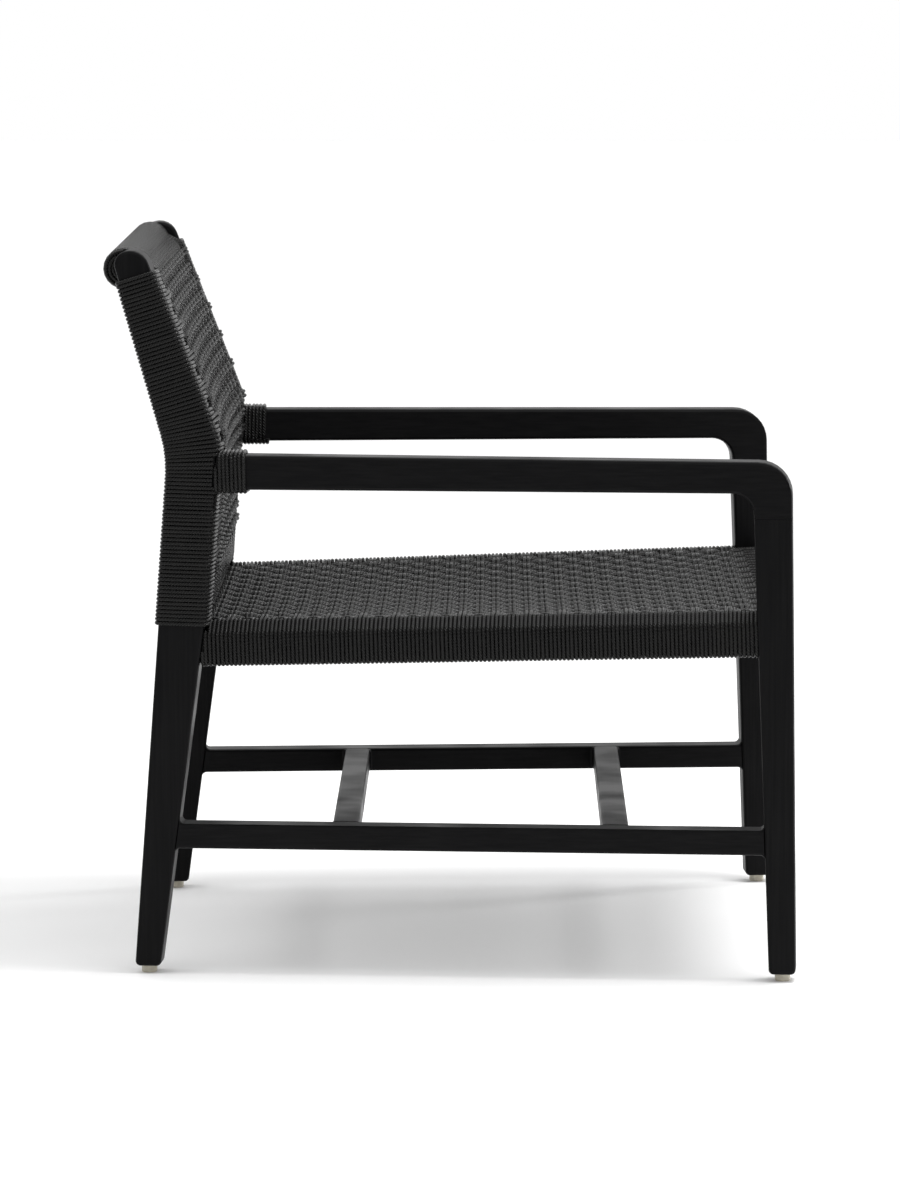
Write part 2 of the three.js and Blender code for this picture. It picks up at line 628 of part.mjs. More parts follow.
// The chair stands on the floor with the middle of its plan at the origin.
const extent = new THREE.Box3().setFromObject(chair, true);
chair.position.y = -(extent.min.y + extent.max.y) / 2;
chair.updateMatrixWorld(true);

export default chair;
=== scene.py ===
from math import atan2, cos, pi, radians, sin

import bpy
import numpy as np
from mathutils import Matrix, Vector
from mathutils.bvhtree import BVHTree


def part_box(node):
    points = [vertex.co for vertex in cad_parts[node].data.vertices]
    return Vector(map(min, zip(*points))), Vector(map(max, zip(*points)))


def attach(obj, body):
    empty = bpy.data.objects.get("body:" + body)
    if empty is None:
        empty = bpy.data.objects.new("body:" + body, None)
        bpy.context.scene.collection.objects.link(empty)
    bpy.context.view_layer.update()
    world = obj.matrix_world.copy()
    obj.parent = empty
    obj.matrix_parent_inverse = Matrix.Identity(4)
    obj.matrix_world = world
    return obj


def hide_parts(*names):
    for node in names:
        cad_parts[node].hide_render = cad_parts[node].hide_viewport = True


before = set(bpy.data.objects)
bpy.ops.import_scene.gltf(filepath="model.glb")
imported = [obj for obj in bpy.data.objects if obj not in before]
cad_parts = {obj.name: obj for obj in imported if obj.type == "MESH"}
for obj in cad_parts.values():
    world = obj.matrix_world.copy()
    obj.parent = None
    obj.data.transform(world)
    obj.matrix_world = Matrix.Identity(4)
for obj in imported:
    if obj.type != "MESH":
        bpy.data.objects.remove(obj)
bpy.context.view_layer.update()  # the chair's wooden frame and feet, with its cord as plain sleeves and slabs


# ---------------------------------------------------------------- camera
# A long lens at standing height looks square across the chair from the sitter's right.
# Its place is measured from the rear foot, so it follows the chair.

def middle_of(node):
    low, high = (np.array(corner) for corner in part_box(node))
    return (low + high) / 2


rear_foot = middle_of("right_rear_glide")
front_foot = middle_of("right_front_glide")
camera = bpy.data.objects.new("camera", bpy.data.cameras.new("camera"))
CAMERA_SIDEWAYS = -6.468
CAMERA_AHEAD_OF_REAR_FOOT = 0.3568
CAMERA_HEIGHT = 1.118
LOOKING = Vector((0.99309, 0.00745, -0.11717))

camera.location = (CAMERA_SIDEWAYS, rear_foot[1] - CAMERA_AHEAD_OF_REAR_FOOT, CAMERA_HEIGHT)
camera.rotation_euler = LOOKING.to_track_quat("-Z", "Y").to_euler()
camera.data.lens = 182.7
camera.data.sensor_width = 36
camera.data.clip_end = 100
bpy.context.collection.objects.link(camera)
bpy.context.scene.camera = camera


# ---------------------------------------------------------------- studio
# A white room with a bright ceiling and a bright wall on the chair's far side. One soft lamp
# hangs above and one stands low in front, and they draw the highlights on edges and cord.

CEILING_LIGHT = 1.5
CEILING_FROM = 0.9  # how far up a direction points where the ceiling is at full brightness
WALL_LIGHT = 0.03
BEYOND_LIGHT = 0.9  # the white wall on the chair's far side, which the tops of things mirror

world = bpy.data.worlds.new("studio")
world.use_nodes = True
nodes, links = world.node_tree.nodes, world.node_tree.links
direction = nodes.new("ShaderNodeTexCoord")
parts = nodes.new("ShaderNodeSeparateXYZ")
height = nodes.new("ShaderNodeMapRange")
height.inputs["From Min"].default_value = 0.0
height.inputs["From Max"].default_value = CEILING_FROM
height.inputs["To Min"].default_value = WALL_LIGHT
height.inputs["To Max"].default_value = CEILING_LIGHT
beyond = nodes.new("ShaderNodeMapRange")
beyond.interpolation_type = "SMOOTHSTEP"
beyond.inputs["From Min"].default_value = 0.5
beyond.inputs["From Max"].default_value = 1.0
low_down = nodes.new("ShaderNodeMapRange")
low_down.interpolation_type = "SMOOTHSTEP"
low_down.inputs["From Min"].default_value = 0.5
low_down.inputs["From Max"].default_value = 0.1
low_down.inputs["To Max"].default_value = BEYOND_LIGHT
wall = nodes.new("ShaderNodeMath")
wall.operation = "MULTIPLY_ADD"
ray = nodes.new("ShaderNodeLightPath")
seen = nodes.new("ShaderNodeMix")
seen.inputs["B"].default_value = 1.0
links.new(direction.outputs["Generated"], parts.inputs["Vector"])
links.new(parts.outputs["Z"], height.inputs["Value"])
links.new(ray.outputs["Is Camera Ray"], seen.inputs["Factor"])
links.new(parts.outputs["X"], beyond.inputs["Value"])
links.new(parts.outputs["Z"], low_down.inputs["Value"])
links.new(beyond.outputs["Result"], wall.inputs[0])
links.new(low_down.outputs["Result"], wall.inputs[1])
links.new(height.outputs["Result"], wall.inputs[2])
links.new(wall.outputs["Value"], seen.inputs["A"])
links.new(seen.outputs["Result"], nodes["Background"].inputs["Strength"])
nodes["Background"].inputs["Color"].default_value = (1, 1, 1, 1)
bpy.context.scene.world = world
bpy.context.scene.view_settings.view_transform = "Standard"


def soft_lamp(name, place, target, width, power):
    light = bpy.data.lights.new(name, "AREA")
    light.shape = "DISK"
    light.size = width
    light.energy = power
    lamp = bpy.data.objects.new(name, light)
    lamp.location = place
    lamp.rotation_euler = (Vector(target) - Vector(place)).to_track_quat("-Z", "Y").to_euler()
    bpy.context.collection.objects.link(lamp)


soft_lamp("lamp_above", (-0.2, -0.7, 2.5), (0, 0, 0.4), 1.0, 42)
soft_lamp("lamp_front", (1.6, -2.9, 1.1), (0, 0, 0.5), 0.5, 22)


def new_material(name):
    material = bpy.data.materials.new(name)
    material.use_nodes = True
    nodes, links = material.node_tree.nodes, material.node_tree.links
    return material, nodes, links, nodes["Principled BSDF"]


def add(nodes, kind, **settings):
    node = nodes.new(kind)
    for name, value in settings.items():
        setattr(node, name, value)
    return node


FLOOR_SIZE = 40

floor_mesh = bpy.data.meshes.new("floor")
reach = FLOOR_SIZE / 2
floor_mesh.from_pydata(
    [(-reach, -reach, 0), (reach, -reach, 0), (reach, reach, 0), (-reach, reach, 0)], [], [(0, 1, 2, 3)])
floor = bpy.data.objects.new("floor", floor_mesh)
bpy.context.collection.objects.link(floor)
material, nodes, links, surface = new_material("pale_floor")
surface.inputs["Base Color"].default_value = (0.95, 0.95, 0.95, 1)
surface.inputs["Roughness"].default_value = 0.8
floor_mesh.materials.append(material)


# ---------------------------------------------------------------- black boards
# Hardwood boards, stained and lacquered satin black, so the open grain still shows as fine
# dark pores and a faint unevenness in the gloss. The grain runs along each board.

GRAIN_FINE = 420  # pores to the metre across the grain
GRAIN_LONG = 9  # and along it


def black_wood(name, along):
    material, nodes, links, surface = new_material(name)
    place = nodes.new("ShaderNodeTexCoord")
    stretch = nodes.new("ShaderNodeMapping")
    stretch.inputs["Scale"].default_value = [
        GRAIN_LONG if axis == along else GRAIN_FINE for axis in range(3)]
    links.new(place.outputs["Object"], stretch.inputs["Vector"])
    pores = nodes.new("ShaderNodeTexNoise")
    pores.inputs["Scale"].default_value = 1.0
    pores.inputs["Detail"].default_value = 3
    pores.inputs["Roughness"].default_value = 0.6
    links.new(stretch.outputs["Vector"], pores.inputs["Vector"])
    blush = nodes.new("ShaderNodeTexNoise")
    blush.inputs["Scale"].default_value = 14
    blush.inputs["Detail"].default_value = 2
    links.new(place.outputs["Object"], blush.inputs["Vector"])
    stain = nodes.new("ShaderNodeValToRGB")
    stain.color_ramp.elements[0].position = 0.36
    stain.color_ramp.elements[0].color = (0.0016, 0.0016, 0.0019, 1)
    stain.color_ramp.elements[1].position = 0.7
    stain.color_ramp.elements[1].color = (0.0044, 0.0043, 0.0046, 1)
    links.new(pores.outputs["Fac"], stain.inputs["Fac"])
    links.new(stain.outputs["Color"], surface.inputs["Base Color"])
    gloss = nodes.new("ShaderNodeMapRange")
    gloss.inputs["From Min"].default_value = 0.35
    gloss.inputs["From Max"].default_value = 0.65
    gloss.inputs["To Min"].default_value = 0.36
    gloss.inputs["To Max"].default_value = 0.5
    links.new(blush.outputs["Fac"], gloss.inputs["Value"])
    links.new(gloss.outputs["Result"], surface.inputs["Roughness"])
    relief = nodes.new("ShaderNodeBump")
    relief.inputs["Strength"].default_value = 0.16
    relief.inputs["Distance"].default_value = 0.0004
    links.new(pores.outputs["Fac"], relief.inputs["Height"])
    links.new(relief.outputs["Normal"], surface.inputs["Normal"])
    surface.inputs["Specular IOR Level"].default_value = 0.09
    return material


def finish_node(node, material):
    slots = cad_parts[node].data.materials
    slots.clear()
    slots.append(material)


BOARDS = {
    0: ["rear_cross_stretcher", "front_cross_stretcher", "rear_seat_rail", "front_seat_rail",
        "crest_rail", "lower_back_rail"],
    1: [f"{side}_{board}" for side in ("right", "left")
        for board in ("arm", "side_stretcher", "seat_rail")],
    2: [f"{side}_{board}" for side in ("right", "left") for board in ("rear_post", "front_leg")],
}  # by the axis that the grain runs along
for along, boards in BOARDS.items():
    wood = black_wood("black_wood_" + "xyz"[along], along)
    for board in boards:
        finish_node(board, wood)


# ---------------------------------------------------------------- dowels
# Plain hardwood pins that hold each arm on its front leg. They are unfinished, inside the joint.

material, nodes, links, surface = new_material("dowel_wood")
place = nodes.new("ShaderNodeTexCoord")
stretch = nodes.new("ShaderNodeMapping")
stretch.inputs["Scale"].default_value = (700, 700, 30)
fibres = nodes.new("ShaderNodeTexNoise")
fibres.inputs["Scale"].default_value = 1.0
tone = nodes.new("ShaderNodeValToRGB")
tone.color_ramp.elements[0].color = (0.33, 0.2, 0.1, 1)
tone.color_ramp.elements[1].color = (0.55, 0.39, 0.22, 1)
links.new(place.outputs["Object"], stretch.inputs["Vector"])
links.new(stretch.outputs["Vector"], fibres.inputs["Vector"])
links.new(fibres.outputs["Fac"], tone.inputs["Fac"])
links.new(tone.outputs["Color"], surface.inputs["Base Color"])
surface.inputs["Roughness"].default_value = 0.65
for side in ("right", "left"):
    for number in (1, 2):
        finish_node(f"{side}_arm_dowel_{number}", material)


# ---------------------------------------------------------------- glides and their nails
# Moulded off-white nylon glides, faintly cloudy and scuffed by the floor, each held under its
# leg by a bright steel wire nail.

material, nodes, links, surface = new_material("glide_nylon")
place = nodes.new("ShaderNodeTexCoord")
cloud = nodes.new("ShaderNodeTexNoise")
cloud.inputs["Scale"].default_value = 260
cloud.inputs["Detail"].default_value = 3
tone = nodes.new("ShaderNodeValToRGB")
tone.color_ramp.elements[0].color = (0.5, 0.46, 0.36, 1)
tone.color_ramp.elements[1].color = (0.66, 0.62, 0.52, 1)
scuff = nodes.new("ShaderNodeBump")
scuff.inputs["Strength"].default_value = 0.2
scuff.inputs["Distance"].default_value = 0.0003
links.new(place.outputs["Object"], cloud.inputs["Vector"])
links.new(cloud.outputs["Fac"], tone.inputs["Fac"])
links.new(tone.outputs["Color"], surface.inputs["Base Color"])
links.new(cloud.outputs["Fac"], scuff.inputs["Height"])
links.new(scuff.outputs["Normal"], surface.inputs["Normal"])
surface.inputs["Roughness"].default_value = 0.42
surface.inputs["Subsurface Weight"].default_value = 0.2
surface.inputs["Subsurface Radius"].default_value = (0.003, 0.0025, 0.002)
nylon = material

material, nodes, links, surface = new_material("nail_steel")
place = nodes.new("ShaderNodeTexCoord")
stretch = nodes.new("ShaderNodeMapping")
stretch.inputs["Scale"].default_value = (2500, 2500, 150)
drawn = nodes.new("ShaderNodeTexNoise")
drawn.inputs["Scale"].default_value = 1.0
gloss = nodes.new("ShaderNodeMapRange")
gloss.inputs["To Min"].default_value = 0.22
gloss.inputs["To Max"].default_value = 0.4
tone = nodes.new("ShaderNodeValToRGB")
tone.color_ramp.elements[0].color = (0.48, 0.48, 0.5, 1)
tone.color_ramp.elements[1].color = (0.62, 0.62, 0.62, 1)
links.new(place.outputs["Object"], stretch.inputs["Vector"])
links.new(stretch.outputs["Vector"], drawn.inputs["Vector"])
links.new(drawn.outputs["Fac"], gloss.inputs["Value"])
links.new(drawn.outputs["Fac"], tone.inputs["Fac"])
links.new(gloss.outputs["Result"], surface.inputs["Roughness"])
links.new(tone.outputs["Color"], surface.inputs["Base Color"])
surface.inputs["Metallic"].default_value = 1.0
steel = material

for side in ("right", "left"):
    for end in ("rear", "front"):
        finish_node(f"{side}_{end}_glide", nylon)
        finish_node(f"{side}_{end}_glide_nail", steel)


# ---------------------------------------------------------------- cord
# Everything soft on the chair is one kind of cord: three strands twisted hard into a round
# cord about 4 mm thick, charcoal black. It is laid along a path by one tree of nodes.

CORD_RADIUS = 0.00203
CORD_FACETS = 8
STRANDS = 3
STRAND_LAY = 0.0095  # length of cord in which a strand goes once round
STRAND_SLOPE = 2 * pi / STRAND_LAY


def cord_material():
    material, nodes, links, surface = new_material("black_cord")
    laid = add(nodes, "ShaderNodeAttribute", attribute_name="laid")
    parts = nodes.new("ShaderNodeSeparateXYZ")
    links.new(laid.outputs["Vector"], parts.inputs["Vector"])

    def maths(operation, first, second=None, value=None):
        node = add(nodes, "ShaderNodeMath", operation=operation)
        links.new(first, node.inputs[0])
        if second is not None:
            links.new(second, node.inputs[1])
        if value is not None:
            node.inputs[1].default_value = value
        return node.outputs[0]

    round_it = maths("ARCTAN2", parts.outputs["Y"], parts.outputs["X"])
    along_it = maths("MULTIPLY", parts.outputs["Z"], value=STRAND_SLOPE)
    twist = maths("ADD", round_it, along_it)
    strand = maths("SINE", maths("MULTIPLY", twist, value=STRANDS))
    crown = nodes.new("ShaderNodeMapRange")
    crown.interpolation_type = "SMOOTHSTEP"
    crown.inputs["From Min"].default_value = -1.0
    crown.inputs["From Max"].default_value = 0.4
    links.new(strand, crown.inputs["Value"])

    place = nodes.new("ShaderNodeTexCoord")
    fibre = nodes.new("ShaderNodeTexNoise")
    fibre.inputs["Scale"].default_value = 1900
    fibre.inputs["Detail"].default_value = 2
    links.new(place.outputs["Object"], fibre.inputs["Vector"])
    fade = nodes.new("ShaderNodeTexNoise")
    fade.inputs["Scale"].default_value = 38
    fade.inputs["Detail"].default_value = 3
    links.new(place.outputs["Object"], fade.inputs["Vector"])

    # Painted shade and highlight: the base colour is darker in the grooves between the strands and lighter on
    # their crowns, standing in for the shade and light that the twist makes.
    painted_groove_shade = nodes.new("ShaderNodeValToRGB")
    painted_groove_shade.color_ramp.elements[0].color = (0.0012, 0.0012, 0.0013, 1)
    painted_groove_shade.color_ramp.elements[1].color = (0.0060, 0.0058, 0.0056, 1)
    links.new(crown.outputs["Result"], painted_groove_shade.inputs["Fac"])
    worn = nodes.new("ShaderNodeValToRGB")
    worn.color_ramp.elements[0].position = 0.3
    worn.color_ramp.elements[0].color = (0.72, 0.72, 0.73, 1)
    worn.color_ramp.elements[1].position = 0.7
    worn.color_ramp.elements[1].color = (1.25, 1.24, 1.2, 1)
    links.new(fade.outputs["Fac"], worn.inputs["Fac"])
    colour = add(nodes, "ShaderNodeMix", data_type="RGBA", blend_type="MULTIPLY")
    colour.inputs["Factor"].default_value = 1.0
    links.new(painted_groove_shade.outputs["Color"], colour.inputs["A"])
    links.new(worn.outputs["Color"], colour.inputs["B"])
    links.new(colour.outputs["Result"], surface.inputs["Base Color"])

    gloss = nodes.new("ShaderNodeMapRange")
    gloss.inputs["To Min"].default_value = 0.5
    gloss.inputs["To Max"].default_value = 0.25
    links.new(crown.outputs["Result"], gloss.inputs["Value"])
    links.new(gloss.outputs["Result"], surface.inputs["Roughness"])
    ridge = nodes.new("ShaderNodeBump")
    ridge.inputs["Strength"].default_value = 0.8
    ridge.inputs["Distance"].default_value = 0.0006
    links.new(crown.outputs["Result"], ridge.inputs["Height"])
    fuzz = nodes.new("ShaderNodeBump")
    fuzz.inputs["Strength"].default_value = 0.25
    fuzz.inputs["Distance"].default_value = 0.0002
    links.new(fibre.outputs["Fac"], fuzz.inputs["Height"])
    links.new(ridge.outputs["Normal"], fuzz.inputs["Normal"])
    links.new(fuzz.outputs["Normal"], surface.inputs["Normal"])
    surface.inputs["Specular IOR Level"].default_value = 0.22
    surface.inputs["Sheen Weight"].default_value = 0.015
    surface.inputs["Sheen Roughness"].default_value = 0.5
    return material


black_cord = cord_material()


def laid_cord_tree():
    tree = bpy.data.node_groups.new("laid_cord", "GeometryNodeTree")
    for name, kind in (("Paths", "NodeSocketGeometry"), ("Cord Radius", "NodeSocketFloat"),
                       ("Facets", "NodeSocketInt"), ("Cord", "NodeSocketMaterial")):
        tree.interface.new_socket(name, in_out="INPUT", socket_type=kind)
    tree.interface.new_socket("Laid", in_out="OUTPUT", socket_type="NodeSocketGeometry")
    nodes, links = tree.nodes, tree.links
    given, result = nodes.new("NodeGroupInput"), nodes.new("NodeGroupOutput")

    curve = nodes.new("GeometryNodeMeshToCurve")
    links.new(given.outputs["Paths"], curve.inputs["Mesh"])
    length = nodes.new("GeometryNodeSplineParameter")
    keep_length = nodes.new("GeometryNodeCaptureAttribute")
    keep_length.capture_items.new("FLOAT", "Length")
    links.new(curve.outputs["Curve"], keep_length.inputs["Geometry"])
    links.new(length.outputs["Length"], keep_length.inputs["Length"])

    circle = nodes.new("GeometryNodeCurvePrimitiveCircle")
    links.new(given.outputs["Facets"], circle.inputs["Resolution"])
    links.new(given.outputs["Cord Radius"], circle.inputs["Radius"])
    place = nodes.new("GeometryNodeInputPosition")
    keep_place = nodes.new("GeometryNodeCaptureAttribute")
    keep_place.capture_items.new("VECTOR", "Place")
    links.new(circle.outputs["Curve"], keep_place.inputs["Geometry"])
    links.new(place.outputs["Position"], keep_place.inputs["Place"])

    sweep = nodes.new("GeometryNodeCurveToMesh")
    sweep.inputs["Fill Caps"].default_value = True
    links.new(keep_length.outputs["Geometry"], sweep.inputs["Curve"])
    links.new(keep_place.outputs["Geometry"], sweep.inputs["Profile Curve"])

    apart = nodes.new("ShaderNodeSeparateXYZ")
    links.new(keep_place.outputs["Place"], apart.inputs["Vector"])
    together = nodes.new("ShaderNodeCombineXYZ")
    links.new(apart.outputs["X"], together.inputs["X"])
    links.new(apart.outputs["Y"], together.inputs["Y"])
    links.new(keep_length.outputs["Length"], together.inputs["Z"])
    store = add(nodes, "GeometryNodeStoreNamedAttribute", data_type="FLOAT_VECTOR", domain="POINT")
    store.inputs["Name"].default_value = "laid"
    links.new(sweep.outputs["Mesh"], store.inputs["Geometry"])
    links.new(together.outputs["Vector"], store.inputs["Value"])

    smooth = nodes.new("GeometryNodeSetShadeSmooth")
    links.new(store.outputs["Geometry"], smooth.inputs["Geometry"])
    real = nodes.new("GeometryNodeRealizeInstances")
    links.new(smooth.outputs["Geometry"], real.inputs["Geometry"])
    finish = nodes.new("GeometryNodeSetMaterial")
    links.new(real.outputs["Geometry"], finish.inputs["Geometry"])
    links.new(given.outputs["Cord"], finish.inputs["Material"])
    links.new(finish.outputs["Geometry"], result.inputs["Laid"])
    return tree


laid_cord = laid_cord_tree()


def lay_cord(name, paths, replaced, facets=CORD_FACETS, radius=CORD_RADIUS):
    points = [tuple(point) for path in paths for point in path]
    starts = np.cumsum([0] + [len(path) for path in paths])
    edges = [(i, i + 1) for a, b in zip(starts, starts[1:]) for i in range(a, b - 1)]
    guide_mesh = bpy.data.meshes.new(name + "_guide")
    guide_mesh.from_pydata(points, edges, [])
    guide = bpy.data.objects.new(name + "_guide", guide_mesh)
    bpy.context.collection.objects.link(guide)
    modifier = guide.modifiers.new("laid", "NODES")
    modifier.node_group = laid_cord
    sockets = {item.name: item.identifier for item in laid_cord.interface.items_tree
               if item.in_out == "INPUT"}
    modifier[sockets["Cord Radius"]] = radius
    modifier[sockets["Facets"]] = facets
    modifier[sockets["Cord"]] = black_cord
    evaluated = guide.evaluated_get(bpy.context.evaluated_depsgraph_get())
    mesh = bpy.data.meshes.new_from_object(evaluated)
    mesh.name = name
    bpy.data.objects.remove(guide)
    piece = bpy.data.objects.new(name, mesh)
    bpy.context.collection.objects.link(piece)
    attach(piece, "root")
    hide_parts(*replaced)


# ---------------------------------------------------------------- cord round the rear posts
# Each rear post is wound from just under the seat to just below its rounded tip. Of every four
# turns, two are a pair that comes out of the woven back, and the other two only fill.

POST_PITCH = 0.004125
UNEVEN = 0.00012  # how far a hand-laid cord strays from its place
TURNS_TO_A_PAIR = 4
PAIR = (0, 1)  # which of every four turns belong to the woven panel
LOOP_STEPS = 24
BEND_LOW, BEND_HIGH = 0.505, 0.60  # heights between which the turns swing square to the lean
UP = np.array([0.0, 0.0, 1.0])
rng = np.random.default_rng(7)

forward = front_foot - rear_foot
forward[2] = 0
forward /= np.linalg.norm(forward)
inward = np.cross(UP, forward)
inward = inward if inward[0] > 0 else -inward


def board_of(node):
    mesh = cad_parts[node].data
    points = np.empty(len(mesh.vertices) * 3)
    mesh.vertices.foreach_get("co", points)
    edges = np.empty(len(mesh.edges) * 2, dtype=int)
    mesh.edges.foreach_get("vertices", edges)
    return points.reshape(-1, 3), edges.reshape(-1, 2)


def loop_round(board, at, start, side, held=CORD_RADIUS):
    """A loop round a board in the plane of `start` and `side`, from `start` towards `side`."""
    points, edges = board
    depth = (points - at) @ np.cross(start, side)
    near, far = depth[edges[:, 0]], depth[edges[:, 1]]
    cut = near * far < 0
    share = (near[cut] / (near[cut] - far[cut]))[:, None]
    hits = points[edges[cut, 0]] * (1 - share) + points[edges[cut, 1]] * share
    flat = np.stack([(hits - at) @ start, (hits - at) @ side], 1)
    turn = np.arange(LOOP_STEPS + 1) * 2 * pi / LOOP_STEPS
    outward = np.stack([np.cos(turn), np.sin(turn)], 1)
    corner = flat[np.argmax(flat @ outward.T + 1e-5 * np.sin(turn), axis=0)] + held * outward
    return at + corner[:, :1] * start + corner[:, 1:] * side


def eased(value):
    value = min(max(value, 0.0), 1.0)
    return value * value * (3 - 2 * value)


def skewed(loop, axis, pitch):
    """The loop as one turn of a winding that climbs by `pitch` along `axis`."""
    step = np.linalg.norm(np.diff(loop, axis=0), axis=1)
    share = np.concatenate([[0], np.cumsum(step)]) / step.sum()
    return loop + np.outer((share - 0.5) * pitch, axis)


def fine(path, longest=0.006):
    """The path with points added so that no step is longer than `longest`."""
    made = [path[0]]
    for a, b in zip(path, path[1:]):
        count = max(1, int(np.ceil(np.linalg.norm(b - a) / longest)))
        made += [a + (b - a) * (k + 1) / count for k in range(count)]
    return np.array(made)


def clear_of(path, trees, room=CORD_RADIUS * 0.5):
    """The stretches of a path that stay out of the wood."""
    def blocked(point):
        for tree in trees:
            near, normal, _, distance = tree.find_nearest(Vector(point))
            if near is None:
                continue
            if distance < room or (distance < 0.02 and (Vector(point) - near).dot(normal) < 0):
                return True
        return False

    runs, run = [], []
    for point in path:
        if blocked(point):
            if len(run) > 1:
                runs.append(np.array(run))
            run = []
        else:
            run.append(point)
    if len(run) > 1:
        runs.append(np.array(run))
    return runs


def tree_of(node):
    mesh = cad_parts[node].data
    mesh.calc_loop_triangles()
    return BVHTree.FromPolygons([v.co.copy() for v in mesh.vertices],
                                [tuple(t.vertices) for t in mesh.loop_triangles])


def mirrored(path):
    return np.array(path) * (-1, 1, 1)


post = board_of("right_rear_post")
LEAN_TAKEN_AT = (0.61, 0.68)  # heights on the raked part of the post
post_line = middle_of("right_post_cord")
leaning = [loop_round(post, np.array([rear_foot[0], post_line[1], z]), inward, forward).mean(axis=0)
           for z in LEAN_TAKEN_AT]
rise = leaning[1] - leaning[0]
LEAN = atan2(-(rise @ forward), rise[2])

FIRST_TURN_INSIDE = 0.03  # of the back of the cord's room, well inside the post
POST_CORD_OVERRUN = 0.0015  # the top turn may stand this far above its room
post_turns = []  # (loop, axis, face): each turn, the way the post runs there, and its front's facing
low, high = (np.array(corner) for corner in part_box("right_post_cord"))
at = np.array([rear_foot[0], high[1] - FIRST_TURN_INSIDE, low[2] + CORD_RADIUS])
while True:
    tilt = eased((at[2] - BEND_LOW) / (BEND_HIGH - BEND_LOW)) * LEAN
    axis = UP * cos(tilt) - forward * sin(tilt)
    face = forward * cos(tilt) + UP * sin(tilt)
    loop = loop_round(post, at, inward, face)
    centre = loop.mean(axis=0)
    loop = loop_round(post, centre, inward, face)
    if loop[:, 2].max() + CORD_RADIUS > high[2] + POST_CORD_OVERRUN:
        break
    post_turns.append((loop, axis, face))
    at = centre + axis * POST_PITCH

crest_middle = middle_of("crest_rail")
lower_rail_middle = middle_of("lower_back_rail")
crest_low, crest_high = (np.array(corner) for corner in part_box("crest_rail"))
CREST_RADIUS = (crest_high[2] - crest_low[2]) / 2
crest_middle[1:] = [(crest_low[1] + crest_high[1]) / 2, (crest_low[2] + crest_high[2]) / 2]

FRONT_OF_POST = 5  # step of a post's loop that lies on its inner front edge
LOWEST_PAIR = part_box("lower_back_cord")[1][2] + 0.004
HIGHEST_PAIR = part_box("crest_cord")[1][2] - 0.031
topmost = max(t for t in range(len(post_turns) - 1)
              if post_turns[t][0][FRONT_OF_POST][2] < HIGHEST_PAIR)
pairs = [t for t in range(topmost % TURNS_TO_A_PAIR, topmost + 1, TURNS_TO_A_PAIR)
         if post_turns[t][0][FRONT_OF_POST][2] > LOWEST_PAIR]
pair_turns = {t + k for t in pairs for k in PAIR}

beside_post = [tree_of(node) for node in (
    "right_arm", "right_seat_rail", "rear_seat_rail", "lower_back_rail", "crest_rail")]
winding = []
for t, (loop, axis, face) in enumerate(post_turns):
    if t in pair_turns:
        continue
    turn = skewed(loop, axis, POST_PITCH) + axis * rng.normal(0, UNEVEN)
    winding += clear_of(fine(turn), beside_post)
lay_cord("right_post_winding", winding, ["right_post_cord"])
lay_cord("left_post_winding", [mirrored(path) for path in winding], ["left_post_cord"])


# ---------------------------------------------------------------- cord round the side seat rails
# The side rails are wound from post to leg in the same way. Two turns in four come from the
# seat; the other two fill. The rail's sloped outer shoulder shows as a slanted band.

rail = board_of("right_seat_rail")
low, high = (np.array(corner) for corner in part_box("right_seat_rail_cord"))
rail_length = (high[1] - low[1]) / -forward[1]
RAIL_PITCH_NEAR = 0.0043  # the turns come as near to this as a whole number of them allows
RAIL_END_ROOM = 0.001  # left free at each end
rail_turn_count = round(rail_length / RAIL_PITCH_NEAR / TURNS_TO_A_PAIR) * TURNS_TO_A_PAIR + 2
rail_pitch = (rail_length - 2 * RAIL_END_ROOM) / rail_turn_count
rail_middle = middle_of("right_seat_rail")
rail_turns = []
for t in range(rail_turn_count):
    along = (t + 0.5) * rail_pitch + RAIL_END_ROOM
    at = rail_middle + forward * (along - (high[1] - rail_middle[1]) / -forward[1])
    rail_turns.append(loop_round(rail, at, inward, UP))
seat_pairs = list(range(2, rail_turn_count - 3, TURNS_TO_A_PAIR))
seat_pair_turns = {t + k for t in seat_pairs for k in PAIR}
beside_rail = [tree_of(node) for node in (
    "right_rear_post", "right_front_leg", "rear_seat_rail", "front_seat_rail")]
winding = []
for t, loop in enumerate(rail_turns):
    if t in seat_pair_turns:
        continue
    turn = skewed(loop, forward, rail_pitch) + forward * rng.normal(0, UNEVEN)
    winding += clear_of(fine(turn), beside_rail)
lay_cord("right_seat_rail_winding", winding, ["right_seat_rail_cord"])
lay_cord("left_seat_rail_winding", [mirrored(path) for path in winding], ["left_seat_rail_cord"])


# ---------------------------------------------------------------- woven seat
# Cords run front to back in bundles of four, over both cross rails and round them, with filling
# turns between the bundles. Pairs of cords cross them, over one bundle and under the next.

BUNDLES = 24
WEAVE_FACETS = 6  # sides of a woven cord, fewer than where turns are seen close to
CORDS_IN_BUNDLE = 4
OUTER_CORDS = (0, CORDS_IN_BUNDLE - 1)
REAR_FILLERS = (0,)  # turns between two bundles on the rear rail, the lower back rail and the crest
FRONT_FILLERS = (-0.5, 0.5)  # and on the longer front rail, in cords from the middle of the gap
BUNDLE_RISE = 0.0013  # how far a bundle swings over or under the middle of the weave
PAIR_RISE = 0.0040  # and a pair
PINCHED = 0.168  # spacing of a bundle's cords under a pair, as a share of the bundle's pitch
SPREAD = 0.052  # added where the bundle passes over a pair
CROWN = 0.0007  # how far the outer cords of a bundle lie below the inner ones
RAIL_END = 20  # of the 24 steps of a loop, where a cord ends, tucked under the weave
SEAT_SAG = 0.009  # at the middle, between the side rails
SIDE_DROP = 0.002  # of the outermost bundle below the top of a side rail

